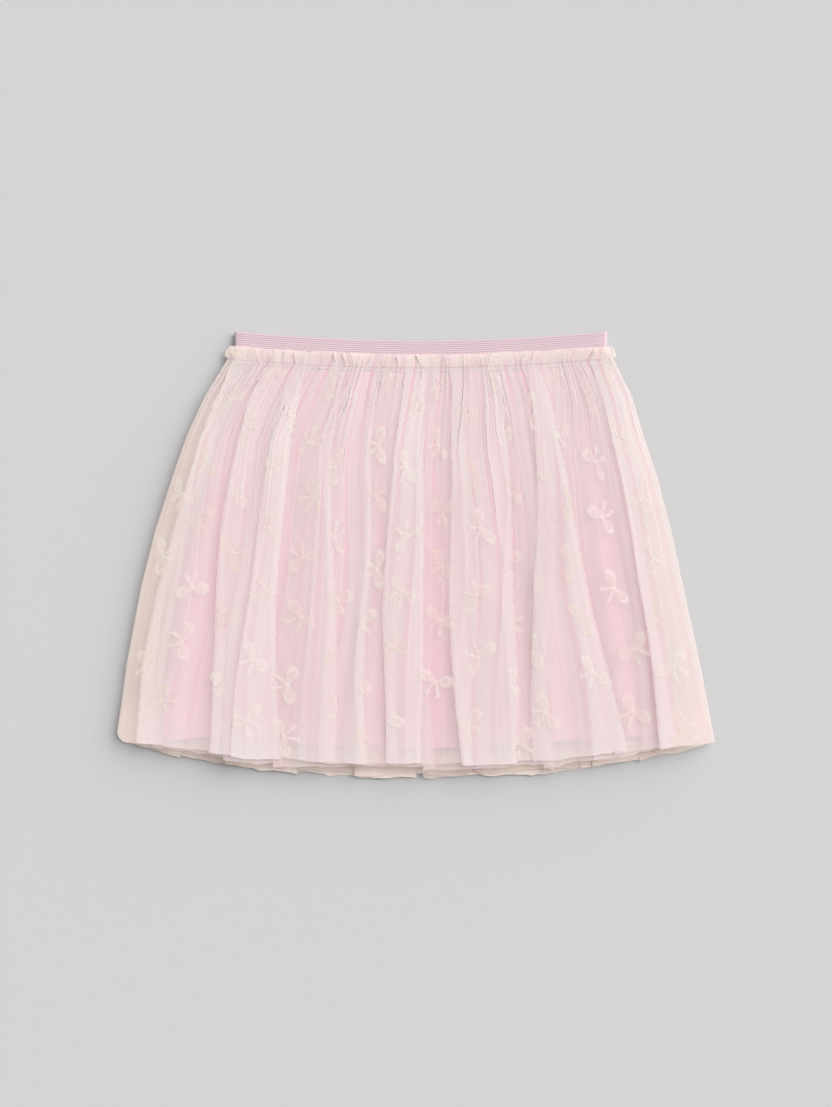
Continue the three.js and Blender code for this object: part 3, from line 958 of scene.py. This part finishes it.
def printed_places(rng, cut):
    """Where the bows lie on the cut cloth, in half-dropped columns, and how each is turned."""
    places = []
    for column in range(round(cut[0] / BOW_EVERY) + 1):
        for row in range(round(cut[1] / BOW_EVERY) + 1):
            drop = 0.5 if column % 2 else 0.0
            across = (column + REPEAT_START[0]) * BOW_EVERY + rng.uniform(-BOW_STRAY, BOW_STRAY)
            down = (row + REPEAT_START[1] + drop) * BOW_EVERY + rng.uniform(-BOW_STRAY, BOW_STRAY)
            down = down - HEADING
            lean = rng.uniform(-BOW_LEAN, BOW_LEAN)
            clear_across = BOW_MARGIN < across < cut[0] - BOW_MARGIN
            clear_down = BOW_BELOW < down < cut[1] - HEADING - BOW_MARGIN
            if clear_across and clear_down:
                places.append((across, down, lean))
    return np.array(places)


def cloth_point(points, downs, cut, across, down):
    """The point of a panel that a place on its cut cloth comes to, and the normal there."""
    row = np.interp(down / DROP, downs, np.arange(len(downs)))
    column = np.clip(across / cut[0], 0, 1) * (points.shape[1] - 1)
    above = np.minimum(row.astype(int), points.shape[0] - 2)
    before = np.minimum(column.astype(int), points.shape[1] - 2)
    lower = (row - above)[..., None]
    after = (column - before)[..., None]
    found = []
    for values in (points, grid_normals(points)):
        top = values[above, before] * (1 - after) + values[above, before + 1] * after
        low = values[above + 1, before] * (1 - after) + values[above + 1, before + 1] * after
        found.append(top * (1 - lower) + low * lower)
    return found


def print_bows(name, seed, points, downs, side):
    """Prints the bows on a panel: copies of one bow from an array, each bent to the cloth.

    side is 1 where the outside of the cloth faces up, and -1 where it faces down.
    """
    rng = np.random.default_rng(seed)
    cut = np.array(OUTER_CUT) / MM
    places = printed_places(rng, cut)
    bows = printed_bow()
    bows.name = name
    bows.data.name = name
    flat = np.array([vertex.co[:2] for vertex in bows.data.vertices])
    copies = bows.modifiers.new("Copies", "ARRAY")
    copies.count = len(places)
    copies.use_relative_offset = False
    copies.use_constant_offset = True
    copies.constant_offset_displace = (0, 0, 1)
    bpy.ops.object.modifier_apply(modifier=copies.name)
    across, down, lean = (places[:, [i]] for i in range(3))
    x = across + side * (flat[:, 0] * np.cos(lean) - flat[:, 1] * np.sin(lean))
    y = down - flat[:, 0] * np.sin(lean) - flat[:, 1] * np.cos(lean)
    place, normal = cloth_point(points, downs, cut, x, y)
    normal = side * normal
    bows.data.vertices.foreach_set("co", ((place + INK_OFF * normal) * MM).ravel())
    ink = bows.data.attributes["ink"].data
    amount = np.zeros(len(ink))
    ink.foreach_get("value", amount)
    facing = side * normal[..., 2].ravel()  # ink cracks off where the cloth turns over
    ink.foreach_set("value", amount * np.clip(3 * facing - 1.6, 0, 1))
    tint = bows.data.attributes.new("tint", "FLOAT", "POINT")
    tint.data.foreach_set("value", np.repeat(rng.uniform(0, 1, len(places)), len(flat)))
    bpy.ops.object.shade_smooth()
    ease_shading(bows, normal, NET_EASE)
    return bows


def cream_ink():
    """Thin grainy ink, paler or creamier from bow to bow."""
    finish = Finish("Cream printing ink", {"Roughness": 0.5, "Specular IOR Level": 0.35})
    finish.shader.inputs["Sheen Weight"].default_value = 0.2
    ink = finish.stored("ink")
    tint = finish.stored("tint")
    place = finish.node("ShaderNodeTexCoord", {}, {}, "Object")
    grains = finish.node("ShaderNodeTexNoise", {}, {"Vector": place, "Scale": 450.0, "Detail": 3.0})
    finish.drive("Base Color", finish.mix(tint, INK, INK_PALE))
    finish.drive("Alpha", ink * (0.16 + 0.34 * grains) * (0.75 + 0.5 * tint))
    finish.bump(grains, 0.3, 0.0002)
    return finish.material


ink_material = cream_ink()
bows = print_bows("printed_bows_front", 51, outer_front_points, outer_rows, 1)
bows.data.materials.append(ink_material)
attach(bows, "root")

bows = print_bows("printed_bows_back", 52, outer_back_points, outer_rows[::2], -1)
bows.data.materials.append(ink_material)
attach(bows, "root")


# Gathering stitches
# A row of short pink stitches along the gather line, which sews the gathered nets to the elastic.
STITCH_EVERY = 1.9
STITCHES = (-122, 128)  # from the left end of the row to the right
STITCH_SIZE = (0.62, 0.22, 0.2)
STITCH_REACH = 1.5  # each lies on the highest cloth within this distance
STITCH_OFF = 0.05
WAIST_HALF = 127.0
STITCH_PINK = (0.80, 0.42, 0.52, 1)
stitch_row = np.argmin(np.abs(outer_rows))
line = outer_front_points[stitch_row]
stitch_x = np.arange(*STITCHES, STITCH_EVERY)
bpy.ops.mesh.primitive_uv_sphere_add(segments=6, ring_count=4, radius=1)
stitches = bpy.context.object
stitches.name = "gathering_stitches"
one = np.array([vertex.co[:] for vertex in stitches.data.vertices]) * STITCH_SIZE
copies = stitches.modifiers.new("Copies", "ARRAY")
copies.count = len(stitch_x)
copies.use_relative_offset = False
copies.use_constant_offset = True
copies.constant_offset_displace = (3, 0, 0)
bpy.ops.object.modifier_apply(modifier=copies.name)
crest = [line[np.abs(line[:, 0] - x) < STITCH_REACH, 2].max() for x in stitch_x]
centres = np.stack([stitch_x, gather_y(stitch_x / WAIST_HALF), np.array(crest) + STITCH_OFF], 1)
stitches.data.vertices.foreach_set("co", ((centres[:, None] + one) * MM).ravel())
bpy.ops.object.shade_smooth()
thread = Finish("Gathering thread", {"Roughness": 0.6, "Base Color": STITCH_PINK})
twist = thread.stretched_noise(40, 40)
thread.bump(twist, 0.3, 0.0001)
stitches.data.materials.append(thread.material)
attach(stitches, "root")


# Table, light and camera
# A plain pale grey surface, one large soft light from the upper right with a faint one overhead, and
# a camera straight above.
FLOOR_GREY = (0.57, 0.57, 0.57, 1)
FLOOR_SIZE = 40  # so wide that its edge stays out of low views
CAMERA_UP = 1.728
ALL_ROUND = 0.38  # strength of the even light from all round

bpy.ops.mesh.primitive_plane_add(size=FLOOR_SIZE)
floor = bpy.context.object
floor.name = "floor"
floor_finish = Finish("Pale table", {"Base Color": FLOOR_GREY, "Roughness": 0.9})
floor.data.materials.append(floor_finish.material)

for name, energy, size, lean, bearing in (
    ("Window light", 4.6, 64, 60, 40),
    ("Overhead light", 0.1, 95, 8, 90),
):
    bpy.ops.object.light_add(type="SUN", location=(0.6, 0.6, 1.2))
    light = bpy.context.object
    light.name = name
    light.data.energy = energy
    light.data.angle = math.radians(size)
    light.rotation_euler = (0, math.radians(lean), math.radians(bearing))

world = bpy.data.worlds.new("Studio")
world.use_nodes = True
world.node_tree.nodes["Background"].inputs["Strength"].default_value = ALL_ROUND
world.node_tree.nodes["Background"].inputs["Color"].default_value = (1, 1, 1, 1)
bpy.context.scene.world = world
bpy.context.scene.view_settings.view_transform = "Standard"
bpy.context.scene.cycles.transparent_max_bounces = 48  # light passes through many layers of net

bpy.ops.object.camera_add(location=(0, 0, CAMERA_UP), rotation=(0, 0, 0))
camera = bpy.context.object
camera.data.lens = 85
camera.data.sensor_width = 36
bpy.context.scene.camera = camera
